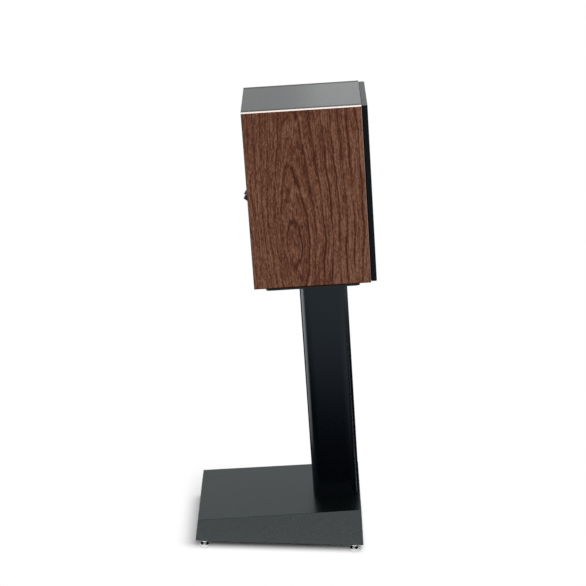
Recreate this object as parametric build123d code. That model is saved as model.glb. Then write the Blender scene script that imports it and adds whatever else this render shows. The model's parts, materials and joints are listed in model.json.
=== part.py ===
from build123d import *
import os
from math import asin, cos, pi, radians, sin, tan

# A two-way loudspeaker on its own floor stand. Cabinet, column and the top of the base lean back together.
# Millimetres. +Z is up, the front looks towards -Y, X runs across.
# The origin lies on the floor, under the middle of the whole object.

# Lean and clearances
lean_deg = 5.5
panel_fit = 0.1
driver_fit = 0.3
screw_fit = 0.1
thread_fit = 0.05
seat_gap = 0.3
drive_width_share = 0.85
drive_depth_share = 0.9

# Cabinet
wall = 15.0
cabinet_depth = 249.5
cabinet_edge_bevel = 2.5
cabinet_front_bevel = 1.0
baffle_proud = 12.5
baffle_spigot = 10.0
baffle_side_inset = 4.0
baffle_end_inset = 2.0
baffle_edge_round = 3.0
baffle_side_margin = 27.5
baffle_top_margin = 18.0
baffle_bottom_margin = 22.0
driver_gap = 8.0
port_gap = 10.0
brace_thickness = 12.0
brace_border = 28.0
brace_rib = 16.0
brace_window_round = 12.0
damping_thickness = 18.0
damping_margin = 12.0

# Woofer, measured from the baffle's face inwards
woofer_flange_radius = 84.0
woofer_flange_thickness = 4.0
woofer_trim_height = 7.0
woofer_trim_land = 6.0
woofer_trim_lip = 2.0
woofer_throat_radius = 66.0
woofer_lip_width = 5.5
woofer_skin = 1.0
woofer_roll_height = 5.0
woofer_roll_width = 12.0
woofer_rim_drop = 2.5
woofer_rim_width = 3.5
woofer_cone_depth = 26.0
woofer_coil_radius = 12.8
woofer_former_wall = 0.4
woofer_winding_wall = 0.7
woofer_winding_length = 12.0
woofer_dust_cap_radius = 20.0
woofer_dust_cap_rise = 6.5
woofer_travel = 4.0
spider_radius = 43.0
spider_land = 5.0
spider_waves = 4
spider_wave_height = 2.2
spider_skin = 0.6
basket_wall = 3.5
basket_cup_depth = 7.0
basket_floor = 4.0
basket_spokes = 6
basket_spoke_deg = 17.0
basket_window_margin = 3.0
basket_wall_top_inset = 9.0
magnetic_gap = 0.65
front_plate_radius = 38.0
front_plate_thickness = 6.0
woofer_magnet_radius = 43.0
woofer_magnet_bore = 21.0
woofer_magnet_thickness = 15.0
woofer_yoke_radius = 40.0
woofer_yoke_thickness = 6.0
woofer_vent_radius = 5.0
woofer_screws_count = 6
woofer_screw_radius = 2.0
woofer_screw_length = 14.0
woofer_screw_inset = 5.5

# Tweeter, measured from the baffle's face inwards
tweeter_flange_radius = 48.0
tweeter_flange_thickness = 5.0
tweeter_boss_radius = 37.0
tweeter_mouth_radius = 40.0
tweeter_throat_radius = 16.5
tweeter_horn_depth = 9.0
tweeter_horn_middle_radius = 26.0
tweeter_horn_middle_depth = 2.8
tweeter_boss_depth = 13.0
tweeter_dome_radius = 12.5
tweeter_dome_rise = 4.2
tweeter_skin = 0.4
tweeter_roll_gap = 0.5
tweeter_roll_radius = 1.3
tweeter_lip_width = 3.5
tweeter_lip_thickness = 0.6
tweeter_coil_length = 5.0
tweeter_coil_wall = 0.7
tweeter_gap = 0.6
tweeter_travel = 0.4
tweeter_plate_radius = 30.0
tweeter_plate_thickness = 5.0
tweeter_magnet_radius = 33.0
tweeter_magnet_bore = 18.0
tweeter_magnet_thickness = 10.0
tweeter_yoke_thickness = 5.0
tweeter_vent_radius = 4.0
tweeter_cup_radius = 28.0
tweeter_cup_depth = 22.0
tweeter_cup_wall = 2.0
tweeter_screws_count = 4
tweeter_screw_radius = 1.7
tweeter_screw_length = 16.0
tweeter_screw_inset = 4.0

# Reflex port
port_mouth_radius = 33.0
port_lip_width = 2.0
port_lip_thickness = 3.0
port_bore_radius = 25.0
port_wall = 2.5
port_flare_depth = 14.0
port_length = 125.0

# Terminals: the cup is measured from the cabinet's back, the tilted posts from the cup's ramp
terminal_height = 183.5
terminal_width = 110.0
terminal_tall = 80.0
terminal_corner = 10.0
terminal_border = 9.0
terminal_flange_thickness = 3.0
terminal_recess = 24.0
terminal_wall = 2.5
terminal_draft_deg = 6.0
terminal_screw_radius = 1.7
terminal_screw_length = 13.0
terminal_screw_inset = 6.0
post_spacing = 33.0
post_tilt_deg = 40.0
post_seat_drop = 18.0
post_seat_depth = 12.0
post_collar_height = 4.0
post_stud_radius = 4.0
post_socket_radius = 2.0
post_socket_depth = 19.0
post_collar_radius = 6.5
post_tip_recess = 1.0
post_inner_reach = 9.0
knob_radius = 7.5
knob_length = 20.0
knob_flutes = 10
knob_flute_radius = 1.2
knob_waist_length = 3.0
clamp_washer_radius = 7.0
clamp_washer_thickness = 1.5
post_nut_width = 13.0
post_nut_thickness = 5.0

# Crossover on the back panel
board_width = 140.0
board_tall = 84.0
board_thickness = 1.6
board_rise = 8.0
board_standoff_radius = 4.0
board_standoff_inset = 7.0
inductor_radius = 21.0
inductor_bore = 10.0
inductor_height = 16.0
inductor_spacing = 60.0
inductor_rise = 18.0
capacitor_radius = 8.0
capacitor_length = 34.0
capacitor_spacing = 42.0
capacitor_drop = 26.0
resistor_length = 25.0
resistor_side = 9.0
resistor_spacing = 40.0
resistor_drop = 12.0

# Stand
plate_thickness = 4.0
plate_length = 202.0
plate_width = 190.0
plate_corner = 8.0
pad_height = 6.0
pad_radius = 15.0
cabinet_bolt_inset = 26.0
cabinet_bolt_radius = 3.0
cabinet_bolt_head_radius = 5.0
cabinet_bolt_head_height = 3.5
cabinet_insert_radius = 4.5
cabinet_insert_length = 12.0
column_width = 100.0
column_depth = 104.0
column_corner = 22.0
column_wall = 2.5
column_length = 516.0
column_end_plate = 6.0
column_setback = 1.5
cabinet_behind = 146.5
plate_screw_spread = 30.0
plate_screw_radius = 3.0
column_bolt_spread = 28.0
column_bolt_radius = 4.0
column_bolt_head_radius = 6.5
column_bolt_head_height = 8.0
column_bolt_grip = 25.0
bolt_pocket_margin = 12.0
foot_height = 20.0
base_length = 374.0
base_width = 270.0
base_rear_height = 48.0
base_draft_deg = 5.5
base_corner = 3.0
base_edge_round = 1.2
ballast_thickness = 6.0
ballast_margin = 32.0
foot_side_inset = 12.0
foot_end_inset = 20.0
foot_insert_radius = 7.0
foot_insert_length = 24.0
foot_stud_radius = 4.0
foot_thread_grip = 12.0
foot_travel = 8.0
foot_nut_width = 13.0
foot_nut_thickness = 4.0
foot_collar_radius = 5.0
foot_collar_thickness = 3.0
foot_collar_step = 1.0
foot_tip_radius = 1.2
foot_disc_radius = 10.0
foot_disc_thickness = 8.0
foot_disc_edge_round = 1.0
foot_dimple_radius = 4.0
foot_dimple_depth = 2.4

# Sizes that follow from the ones above
cabinet_width = 2 * (woofer_flange_radius + baffle_side_margin)
tweeter_drop = baffle_top_margin + tweeter_flange_radius
brace_drop = tweeter_drop + tweeter_flange_radius + driver_gap / 2
woofer_drop = brace_drop + driver_gap / 2 + woofer_flange_radius
port_drop = woofer_drop + woofer_flange_radius + port_gap + port_mouth_radius
cabinet_height = port_drop + port_mouth_radius + baffle_bottom_margin
inner_width = cabinet_width - 2 * wall
inner_height = cabinet_height - 2 * wall
baffle_thickness = baffle_proud + baffle_spigot
foot_stud_length = foot_thread_grip + foot_travel

# Places in the leaning frame, whose origin is the middle of the column's foot
lean = radians(lean_deg)
draft = radians(base_draft_deg)
plate_bottom = column_length
plate_top = plate_bottom + plate_thickness
cabinet_bottom = plate_top + pad_height
cabinet_top = cabinet_bottom + cabinet_height
cabinet_rear = cabinet_behind
cabinet_front = cabinet_rear - cabinet_depth
cabinet_middle = (cabinet_rear + cabinet_front) / 2
baffle_face = cabinet_front - baffle_proud
baffle_back = cabinet_front + baffle_spigot
inner_rear = cabinet_rear - wall

# Places in the upright frame
base_slope_rise = (base_length - base_rear_height * tan(draft)) * tan(lean)
base_front_height = (base_rear_height + base_slope_rise) / (1 + tan(draft) * tan(lean))
column_back = column_setback + column_depth / 2
column_from_base = column_back * cos(lean) - base_length / 2 + base_front_height * tan(draft)
baffle_toe = baffle_face * cos(lean) + (cabinet_bottom + baffle_end_inset) * sin(lean)
base_middle = -(column_from_base + baffle_toe + base_length / 2) / 2
column_foot_y = base_middle + column_from_base
column_foot_z = foot_height + base_front_height - column_back * sin(lean)

leaning = Pos(0, column_foot_y, column_foot_z) * Rot(-lean_deg, 0, 0)
parts = {}


def keep(name, *solids):
    """Stores a node: one solid, or a group of separate solids."""
    parts[name] = solids[0] if len(solids) == 1 else Compound(list(solids))


def keep_leaning(name, *solids):
    """Stores a node that was drawn in the leaning frame."""
    keep(name, *[leaning * solid for solid in solids])


def facing_front(height_below_top):
    """A place on the baffle's face, with Z pointing out of the front and Y up."""
    origin = (0, baffle_face, cabinet_top - height_below_top)
    return Plane(origin, x_dir=(1, 0, 0), z_dir=(0, -1, 0)).location


def facing_back(height_above_bottom, depth=0):
    """A place on the cabinet's back, or in front of it, with Z pointing out of the back and Y up."""
    origin = (0, cabinet_rear - depth, cabinet_bottom + height_above_bottom)
    return Plane(origin, x_dir=(-1, 0, 0), z_dir=(0, 1, 0)).location


def turned(*edges, arc=360):
    """A solid of revolution about Z from edges drawn as (radius, height)."""
    return revolve(Plane.XZ * make_face(edges), Axis.Z, arc)


def turned_outline(*points, arc=360):
    """A solid of revolution about Z from a closed outline of (radius, height) points."""
    return turned(*Polyline(*points, close=True).edges(), arc=arc)


def rod(radius, low, high):
    """A cylinder on the Z axis between two heights."""
    return Pos(0, 0, low) * extrude(Circle(radius), amount=high - low)


def ring(outer, inner, low, high):
    """A flat ring about the Z axis between two heights."""
    return Pos(0, 0, low) * extrude(Circle(outer) - Circle(inner), amount=high - low)


def slab(width, depth, low, high):
    """A block centred on the Z axis between two heights."""
    return Pos(0, 0, low) * extrude(Rectangle(width, depth), amount=high - low)


def hex_nut(width, bore, low, high):
    """A hexagon nut about the Z axis, given its width across flats."""
    outline = RegularPolygon(width / 2, 6, major_radius=False) - Circle(bore)
    return Pos(0, 0, low) * extrude(outline, amount=high - low)


def countersunk_screw(radius, length, fit=0):
    """A countersunk screw whose head is flush with Z = 0 and whose shank points down."""
    head = 2 * radius + fit
    shank = radius + fit
    return turned_outline((0, 0), (head, 0), (shank, -radius), (shank, -length - fit), (0, -length - fit))


def hex_socket(shank_radius):
    """The hexagon socket that a screw's head is driven by, sunk below Z = 0."""
    outline = RegularPolygon(shank_radius * drive_width_share, 6)
    return extrude(outline, amount=-shank_radius * drive_depth_share)


def flat_head_screw(radius, length):
    """A countersunk screw with a socket in its head."""
    return countersunk_screw(radius, length) - hex_socket(radius)


def cap_bolt(radius, head_radius, head_height, length):
    """A bolt whose head lies below Z = 0, with a socket in its end, and whose shank points up."""
    bolt = rod(radius, 0, length) + rod(head_radius, -head_height, 0)
    return bolt - Pos(0, 0, -head_height) * Rot(180, 0, 0) * hex_socket(radius)


def dome_arc(radius, edge, rise):
    """Arc of a round dome from its edge to its top on the axis."""
    ball = (radius**2 + rise**2) / (2 * rise)
    half = asin(radius / ball) / 2
    top = edge + rise
    return ThreePointArc((radius, edge), (ball * sin(half), top - ball * (1 - cos(half))), (0, top))


def dome_edges(radius, edge, rise, skin):
    """Outline of a thin dome between its outer and its inner face."""
    outer = dome_arc(radius, edge, rise)
    inner = dome_arc(radius - skin, edge, rise - skin)
    return outer, Line(outer @ 1, inner @ 1), inner, Line(inner @ 0, outer @ 0)


def corners(half_x, half_y):
    """The four corners of a rectangle about the middle."""
    return [Pos(x, y) for x in (-half_x, half_x) for y in (-half_y, half_y)]


# Woofer: heights along its axis
woofer_flange_top = -woofer_trim_height
woofer_flange_bottom = woofer_flange_top - woofer_flange_thickness
woofer_lip_top = woofer_flange_top + woofer_skin
woofer_roll_inner = woofer_throat_radius - woofer_roll_width
woofer_rim_top = woofer_lip_top - woofer_rim_drop
woofer_cone_top = woofer_rim_top - woofer_skin - seat_gap
woofer_neck = woofer_cone_top - woofer_cone_depth
woofer_neck_radius = woofer_coil_radius + seat_gap
woofer_cone_edge = woofer_roll_inner - woofer_rim_width
cone_slope = woofer_cone_depth / (woofer_cone_edge - woofer_neck_radius)
spider_height = woofer_neck - woofer_travel - spider_wave_height
basket_ledge = spider_height - spider_skin
basket_floor_bottom = basket_ledge - basket_cup_depth - basket_floor
front_plate_bottom = basket_floor_bottom - front_plate_thickness
woofer_magnet_bottom = front_plate_bottom - woofer_magnet_thickness
gap_middle = (basket_floor_bottom + front_plate_bottom) / 2
winding_radius = woofer_coil_radius + woofer_winding_wall
gap_outer = winding_radius + magnetic_gap
pole_radius = woofer_coil_radius - woofer_former_wall - magnetic_gap
basket_wall_top = woofer_flange_radius - basket_wall_top_inset
basket_cup_radius = spider_radius + basket_wall


def cone_height(radius):
    """Height of the cone's front at a radius."""
    return woofer_neck + (radius - woofer_neck_radius) * cone_slope


def bolt_circle(count, radius):
    """Evenly spaced places on a circle, the first half a step from the X axis."""
    step = 360 / count
    return [Rot(0, 0, step * (i + 0.5)) * Pos(radius, 0, 0) for i in range(count)]


def woofer_screw_places():
    radius = woofer_flange_radius - woofer_screw_inset
    return [Pos(0, 0, woofer_flange_top) * place for place in bolt_circle(woofer_screws_count, radius)]


def make_basket():
    """Cast frame: flange, slanted spokes, a ledge for the spider and a floor on the motor."""
    ledge_bore = spider_radius - spider_land
    body = turned_outline(
        (woofer_throat_radius, woofer_flange_top),
        (woofer_flange_radius, woofer_flange_top),
        (woofer_flange_radius, woofer_flange_bottom),
        (basket_wall_top, woofer_flange_bottom),
        (basket_cup_radius, basket_ledge),
        (basket_cup_radius, basket_floor_bottom),
        (gap_outer + magnetic_gap, basket_floor_bottom),
        (gap_outer + magnetic_gap, basket_floor_bottom + basket_floor),
        (ledge_bore, basket_floor_bottom + basket_floor),
        (ledge_bore, basket_ledge),
        (spider_radius, basket_ledge),
        (basket_wall_top - basket_wall, woofer_flange_bottom),
        (woofer_throat_radius, woofer_flange_bottom),
    )
    window_top = woofer_flange_bottom - basket_window_margin
    window_bottom = basket_ledge + basket_window_margin
    window = turned_outline(
        (spider_radius - basket_wall, window_bottom),
        (woofer_flange_radius, window_bottom),
        (woofer_flange_radius, window_top),
        (spider_radius - basket_wall, window_top),
        arc=360 / basket_spokes - basket_spoke_deg,
    )
    step = 360 / basket_spokes
    body -= [Rot(0, 0, step * i) * window for i in range(basket_spokes)]
    hole = countersunk_screw(woofer_screw_radius, woofer_screw_length, screw_fit)
    return body - [place * hole for place in woofer_screw_places()]


def make_surround():
    """Half-roll edge from the basket's lip down to the cone's rim."""
    lip_edge = woofer_throat_radius + woofer_lip_width
    rim_edge = woofer_cone_edge
    crest = (woofer_throat_radius + woofer_roll_inner) / 2
    crest_top = woofer_lip_top + woofer_roll_height
    corner = [
        (lip_edge, woofer_lip_top),
        (woofer_throat_radius, woofer_lip_top),
        (woofer_roll_inner, woofer_rim_top),
        (rim_edge, woofer_rim_top),
    ]
    under = [(r, z - woofer_skin) for r, z in corner]
    return turned(
        Line(corner[0], corner[1]),
        ThreePointArc(corner[1], (crest, crest_top), corner[2]),
        Line(corner[2], corner[3]),
        Line(corner[3], under[3]),
        Line(under[3], under[2]),
        ThreePointArc(under[2], (crest, crest_top - woofer_skin), under[1]),
        Line(under[1], under[0]),
        Line(under[0], corner[0]),
    )


def make_cone():
    """Straight-sided cone with a flat rim under the surround."""
    return turned_outline(
        (woofer_neck_radius, woofer_neck),
        (woofer_cone_edge, woofer_cone_top),
        (woofer_roll_inner, woofer_cone_top),
        (woofer_roll_inner, woofer_cone_top - woofer_skin),
        (woofer_cone_edge + woofer_skin / 2, woofer_cone_top - woofer_skin),
        (woofer_neck_radius + woofer_skin, woofer_neck - woofer_skin / 2),
        (woofer_neck_radius, woofer_neck - woofer_skin / 2),
    )


def make_dust_cap():
    """Domed cap glued on the cone over the voice coil."""
    edge = cone_height(woofer_dust_cap_radius) + screw_fit
    return turned(*dome_edges(woofer_dust_cap_radius, edge, woofer_dust_cap_rise, woofer_skin))


def make_voice_coil():
    """Former that runs from the cone's neck into the gap, with the winding round its end."""
    former_inner = woofer_coil_radius - woofer_former_wall
    top = woofer_neck + woofer_skin
    winding_top = gap_middle + woofer_winding_length / 2
    bottom = gap_middle - woofer_winding_length / 2
    return turned_outline(
        (former_inner, top),
        (woofer_coil_radius, top),
        (woofer_coil_radius, winding_top),
        (winding_radius, winding_top),
        (winding_radius, bottom),
        (former_inner, bottom),
    )


def make_spider():
    """Corrugated centring disc between the former and the basket's ledge."""
    inner = woofer_coil_radius + seat_gap
    outer = spider_radius - spider_land
    step = (outer - inner) / (2 * spider_waves)
    top = [(spider_radius - seat_gap, spider_height), (outer, spider_height)]
    for i in range(1, 2 * spider_waves):
        lift = spider_wave_height if i % 2 else 0
        top.append((outer - i * step, spider_height + lift))
    top.append((inner, spider_height))
    bottom = [(r, z - spider_skin) for r, z in reversed(top)]
    return turned_outline(*top, *bottom)


def make_woofer():
    face = facing_front(woofer_drop)
    lip_edge = woofer_throat_radius + woofer_lip_width
    trim_inner = lip_edge - woofer_trim_lip
    trim = turned_outline(
        (lip_edge + driver_fit, woofer_flange_top),
        (woofer_flange_radius, woofer_flange_top),
        (woofer_flange_radius, 0),
        (woofer_flange_radius - woofer_trim_land, 0),
        (trim_inner, woofer_lip_top + woofer_trim_lip),
        (trim_inner, woofer_lip_top + screw_fit),
        (lip_edge + driver_fit, woofer_lip_top + screw_fit),
    )
    screw = flat_head_screw(woofer_screw_radius, woofer_screw_length)
    yoke_bottom = woofer_magnet_bottom - woofer_yoke_thickness
    yoke = turned_outline(
        (woofer_vent_radius, basket_floor_bottom),
        (pole_radius, basket_floor_bottom),
        (pole_radius, woofer_magnet_bottom),
        (woofer_yoke_radius, woofer_magnet_bottom),
        (woofer_yoke_radius, yoke_bottom),
        (woofer_vent_radius, yoke_bottom),
    )
    front_plate = ring(front_plate_radius, gap_outer, front_plate_bottom, basket_floor_bottom)
    magnet = ring(woofer_magnet_radius, woofer_magnet_bore, woofer_magnet_bottom, front_plate_bottom)
    keep_leaning("woofer_basket", face * make_basket())
    keep_leaning("woofer_trim_ring", face * trim)
    keep_leaning("woofer_screws", *[face * place * screw for place in woofer_screw_places()])
    keep_leaning("woofer_surround", face * make_surround())
    keep_leaning("woofer_cone", face * make_cone())
    keep_leaning("woofer_dust_cap", face * make_dust_cap())
    keep_leaning("woofer_voice_coil", face * make_voice_coil())
    keep_leaning("woofer_spider", face * make_spider())
    keep_leaning("woofer_front_plate", face * front_plate)
    keep_leaning("woofer_magnet", face * magnet)
    keep_leaning("woofer_yoke", face * yoke)


# Tweeter: heights along its axis
tweeter_seat = -tweeter_boss_depth
tweeter_lip_radius = tweeter_throat_radius + tweeter_lip_width
tweeter_plate_bottom = tweeter_seat - tweeter_plate_thickness
tweeter_magnet_bottom = tweeter_plate_bottom - tweeter_magnet_thickness
tweeter_yoke_bottom = tweeter_magnet_bottom - tweeter_yoke_thickness
tweeter_coil_outer = tweeter_dome_radius + tweeter_coil_wall / 2
tweeter_coil_inner = tweeter_coil_outer - tweeter_coil_wall


def tweeter_screw_places():
    return bolt_circle(tweeter_screws_count, tweeter_flange_radius - tweeter_screw_inset)


def make_faceplate():
    """Round faceplate with a flared waveguide and a boss that seats on the motor."""
    mouth = (tweeter_mouth_radius, 0)
    middle = (tweeter_horn_middle_radius, -tweeter_horn_middle_depth)
    throat = (tweeter_throat_radius, -tweeter_horn_depth)
    lip_top = tweeter_seat + tweeter_lip_thickness + screw_fit
    boss = [
        throat,
        (tweeter_throat_radius, lip_top),
        (tweeter_lip_radius + driver_fit, lip_top),
        (tweeter_lip_radius + driver_fit, tweeter_seat),
        (tweeter_boss_radius, tweeter_seat),
        (tweeter_boss_radius, -tweeter_flange_thickness),
        (tweeter_flange_radius, -tweeter_flange_thickness),
        (tweeter_flange_radius, 0),
        mouth,
    ]
    body = turned(ThreePointArc(mouth, middle, throat), *Polyline(*boss).edges())
    hole = countersunk_screw(tweeter_screw_radius, tweeter_screw_length, screw_fit)
    return body - [place * hole for place in tweeter_screw_places()]


def make_dome():
    """Thin dome whose edge sits on the voice coil."""
    edge = tweeter_seat + tweeter_lip_thickness
    return turned(*dome_edges(tweeter_dome_radius, edge, tweeter_dome_rise, tweeter_skin))


def make_tweeter_surround():
    """Small half roll between the dome's edge and the lip clamped under the faceplate."""
    low = tweeter_seat
    high = tweeter_seat + tweeter_lip_thickness
    inner = tweeter_coil_outer + tweeter_roll_gap
    middle = inner + tweeter_roll_radius
    outer = middle + tweeter_roll_radius
    core = tweeter_roll_radius - tweeter_lip_thickness / 2
    return turned(
        Line((tweeter_lip_radius, low), (tweeter_lip_radius, high)),
        Line((tweeter_lip_radius, high), (outer, high)),
        ThreePointArc((outer, high), (middle, high + tweeter_roll_radius), (inner, high)),
        Line((inner, high), (middle - core, high)),
        ThreePointArc((middle - core, high), (middle, high + core), (middle + core, high)),
        Line((middle + core, high), (middle + core, low)),
        Line((middle + core, low), (tweeter_lip_radius, low)),
    )


def make_tweeter():
    face = facing_front(tweeter_drop)
    pole_radius_here = tweeter_coil_inner - tweeter_gap
    plate_bore = tweeter_coil_outer + tweeter_gap
    coil_top = tweeter_seat + tweeter_lip_thickness
    coil = ring(tweeter_coil_outer, tweeter_coil_inner, coil_top - tweeter_coil_length, coil_top)
    plate = ring(tweeter_plate_radius, plate_bore, tweeter_plate_bottom, tweeter_seat)
    magnet = ring(tweeter_magnet_radius, tweeter_magnet_bore, tweeter_magnet_bottom, tweeter_plate_bottom)
    pole_top = tweeter_seat - tweeter_travel
    yoke = turned_outline(
        (tweeter_vent_radius, pole_top),
        (pole_radius_here, pole_top),
        (pole_radius_here, tweeter_magnet_bottom),
        (tweeter_magnet_radius, tweeter_magnet_bottom),
        (tweeter_magnet_radius, tweeter_yoke_bottom),
        (tweeter_vent_radius, tweeter_yoke_bottom),
    )
    cup = rod(tweeter_cup_radius, tweeter_yoke_bottom - tweeter_cup_depth, tweeter_yoke_bottom)
    hollow_bottom = tweeter_yoke_bottom - tweeter_cup_depth + tweeter_cup_wall
    cup -= rod(tweeter_cup_radius - tweeter_cup_wall, hollow_bottom, tweeter_yoke_bottom)
    screw = flat_head_screw(tweeter_screw_radius, tweeter_screw_length)
    keep_leaning("tweeter_faceplate", face * make_faceplate())
    keep_leaning("tweeter_screws", *[face * place * screw for place in tweeter_screw_places()])
    keep_leaning("tweeter_dome", face * make_dome())
    keep_leaning("tweeter_voice_coil", face * coil)
    keep_leaning("tweeter_surround", face * make_tweeter_surround())
    keep_leaning("tweeter_pole_pieces", face * plate, face * yoke)
    keep_leaning("tweeter_magnet", face * magnet)
    keep_leaning("tweeter_rear_cup", face * cup)


# Reflex port: a tube with a flared mouth, let into the baffle
port_flare_radius = port_mouth_radius - port_lip_width
port_outer_radius = port_bore_radius + port_wall


def make_port():
    flare_bend = port_bore_radius + (port_flare_radius - port_bore_radius) * (1 - cos(pi / 4))
    mouth = (port_flare_radius, 0)
    bend = (flare_bend, -port_flare_depth * (1 - sin(pi / 4)))
    throat = (port_bore_radius, -port_flare_depth)
    outline = [
        throat,
        (port_bore_radius, -port_length),
        (port_outer_radius, -port_length),
        (port_outer_radius, -port_flare_depth),
        (port_flare_radius, -port_lip_thickness),
        (port_mouth_radius, -port_lip_thickness),
        (port_mouth_radius, 0),
        mouth,
    ]
    tube = turned(ThreePointArc(mouth, bend, throat), *Polyline(*outline).edges())
    keep_leaning("port_tube", facing_front(port_drop) * tube)


# Baffle: a thick board with a spigot that fits into the box, rebated for drivers and port
def make_baffle():
    width = cabinet_width - 2 * baffle_side_inset
    tall = cabinet_height - 2 * baffle_end_inset
    middle = facing_front(cabinet_height / 2)
    board = extrude(Rectangle(width, tall), amount=-baffle_proud)
    board = fillet(board.edges().filter_by(Axis.Y), baffle_edge_round)
    board = fillet(board.faces().sort_by(Axis.Z)[-1].edges(), baffle_edge_round / 2)
    spigot = Rectangle(inner_width - 2 * panel_fit, inner_height - 2 * panel_fit)
    board += Pos(0, 0, -baffle_proud) * extrude(spigot, amount=-baffle_spigot)
    board = middle * board
    woofer_floor = -woofer_trim_height - woofer_flange_thickness
    woofer_cut = rod(woofer_flange_radius + driver_fit, woofer_floor, baffle_proud)
    woofer_cut += rod(basket_wall_top + driver_fit, -baffle_thickness - baffle_proud, 0)
    screw = countersunk_screw(woofer_screw_radius, woofer_screw_length, screw_fit)
    woofer_cut += [place * screw for place in woofer_screw_places()]
    tweeter_cut = rod(tweeter_flange_radius + driver_fit, -tweeter_flange_thickness, baffle_proud)
    tweeter_cut += rod(tweeter_boss_radius + driver_fit, -baffle_thickness - baffle_proud, 0)
    screw = countersunk_screw(tweeter_screw_radius, tweeter_screw_length, screw_fit)
    tweeter_cut += [place * screw for place in tweeter_screw_places()]
    port_cut = rod(port_mouth_radius + driver_fit, -port_lip_thickness, baffle_proud)
    port_cut += rod(port_flare_radius + driver_fit, -baffle_thickness - baffle_proud, 0)
    board -= facing_front(woofer_drop) * woofer_cut
    board -= facing_front(tweeter_drop) * tweeter_cut
    board -= facing_front(port_drop) * port_cut
    keep_leaning("front_baffle", board)


# Cabinet: two veneered sides, with top, bottom and back let in between them
def cabinet_bolt_places():
    half_x = plate_width / 2 - cabinet_bolt_inset
    half_y = plate_length / 2 - cabinet_bolt_inset
    return [Pos(0, cabinet_middle) * place for place in corners(half_x, half_y)]


def make_side(sign):
    side = Box(wall, cabinet_depth, cabinet_height)
    outer = side.faces().sort_by(Axis.X)[-1 if sign > 0 else 0]
    side = chamfer(outer.edges().filter_by(Axis.Y), cabinet_edge_bevel)
    outer = side.faces().sort_by(Axis.X)[-1 if sign > 0 else 0]
    side = chamfer(outer.edges().filter_by(Axis.Z).sort_by(Axis.Y)[:1], cabinet_front_bevel)
    middle_x = sign * (cabinet_width - wall) / 2
    return Pos(middle_x, cabinet_middle, cabinet_bottom + cabinet_height / 2) * side


def make_cabinet():
    lid = Pos(0, cabinet_middle) * slab(inner_width, cabinet_depth, cabinet_top - wall, cabinet_top)
    floor = Pos(0, cabinet_middle) * slab(inner_width, cabinet_depth, cabinet_bottom, cabinet_bottom + wall)
    insert_hole = rod(cabinet_insert_radius, cabinet_bottom, cabinet_bottom + cabinet_insert_length)
    floor -= [place * insert_hole for place in cabinet_bolt_places()]
    back = facing_back(cabinet_height / 2) * extrude(Rectangle(inner_width, inner_height), amount=-wall)
    back -= facing_back(terminal_height) * make_terminal_cut()
    brace = extrude(Rectangle(inner_width, inner_rear - baffle_back), amount=brace_thickness)
    window_x = (inner_width - 2 * brace_border - brace_rib) / 2
    window_y = (inner_rear - baffle_back - 2 * brace_border - brace_rib) / 2
    window = extrude(RectangleRounded(window_x, window_y, brace_window_round), amount=brace_thickness)
    spread = corners((window_x + brace_rib) / 2, (window_y + brace_rib) / 2)
    brace -= [place * window for place in spread]
    brace_bottom = cabinet_top - brace_drop - brace_thickness / 2
    keep_leaning("side_panel_left", make_side(-1))
    keep_leaning("side_panel_right", make_side(1))
    keep_leaning("top_panel", lid)
    keep_leaning("bottom_panel", floor)
    keep_leaning("back_panel", back)
    keep_leaning("window_brace", Pos(0, (inner_rear + baffle_back) / 2, brace_bottom) * brace)


def make_damping():
    """Felt pads on both side walls below the brace, and under the top panel."""
    motor_depth = -woofer_magnet_bottom + woofer_yoke_thickness
    front = baffle_face + motor_depth + damping_margin
    depth = inner_rear - damping_margin - front
    middle = (inner_rear - damping_margin + front) / 2
    low = cabinet_bottom + wall + damping_margin
    high = cabinet_top - brace_drop - brace_thickness / 2 - damping_margin
    side_x = (inner_width - damping_thickness) / 2
    side_pads = [Pos(x, middle) * slab(damping_thickness, depth, low, high) for x in (-side_x, side_x)]
    pad_width = inner_width - 2 * (damping_thickness + damping_margin)
    ceiling = cabinet_top - wall
    top_pad = Pos(0, middle) * slab(pad_width, depth, ceiling - damping_thickness, ceiling)
    keep_leaning("damping_pads", *side_pads, top_pad)


# Terminals: a moulded cup let into the back, with two binding posts that point up from its ramp
washer_low = post_collar_height + screw_fit
washer_top = washer_low + clamp_washer_thickness
knob_low = washer_top + screw_fit
knob_top = knob_low + knob_length
post_tip = knob_top - post_tip_recess
ramp_seat = Pos(0, -post_seat_drop, -post_seat_depth) * Rot(-post_tilt_deg, 0, 0)


def terminal_screw_places():
    return corners(terminal_width / 2 - terminal_screw_inset, terminal_tall / 2 - terminal_screw_inset)


def post_places():
    return [Pos(x, 0) * ramp_seat for x in (-post_spacing / 2, post_spacing / 2)]


def below_ramp(depth):
    """The space under the ramp, from a depth below its face."""
    reach = 2 * terminal_width
    return ramp_seat * slab(reach, reach, -reach, -depth)


def terminal_tub(grow):
    """Outline of the cup's tub, grown on all sides."""
    width = terminal_width - 2 * terminal_border + 2 * grow
    tall = terminal_tall - 2 * terminal_border + 2 * grow
    return RectangleRounded(width, tall, terminal_corner - terminal_wall + grow)


def make_terminal_cut():
    """The rebate, the opening and the screw holes for the cup in the back panel."""
    rebate = RectangleRounded(terminal_width, terminal_tall, terminal_corner)
    cut = extrude(offset(rebate, panel_fit), amount=-terminal_flange_thickness)
    cut += extrude(terminal_tub(terminal_wall + panel_fit), amount=-wall)
    hole = countersunk_screw(terminal_screw_radius, terminal_screw_length, screw_fit)
    return cut + [place * hole for place in terminal_screw_places()]


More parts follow.
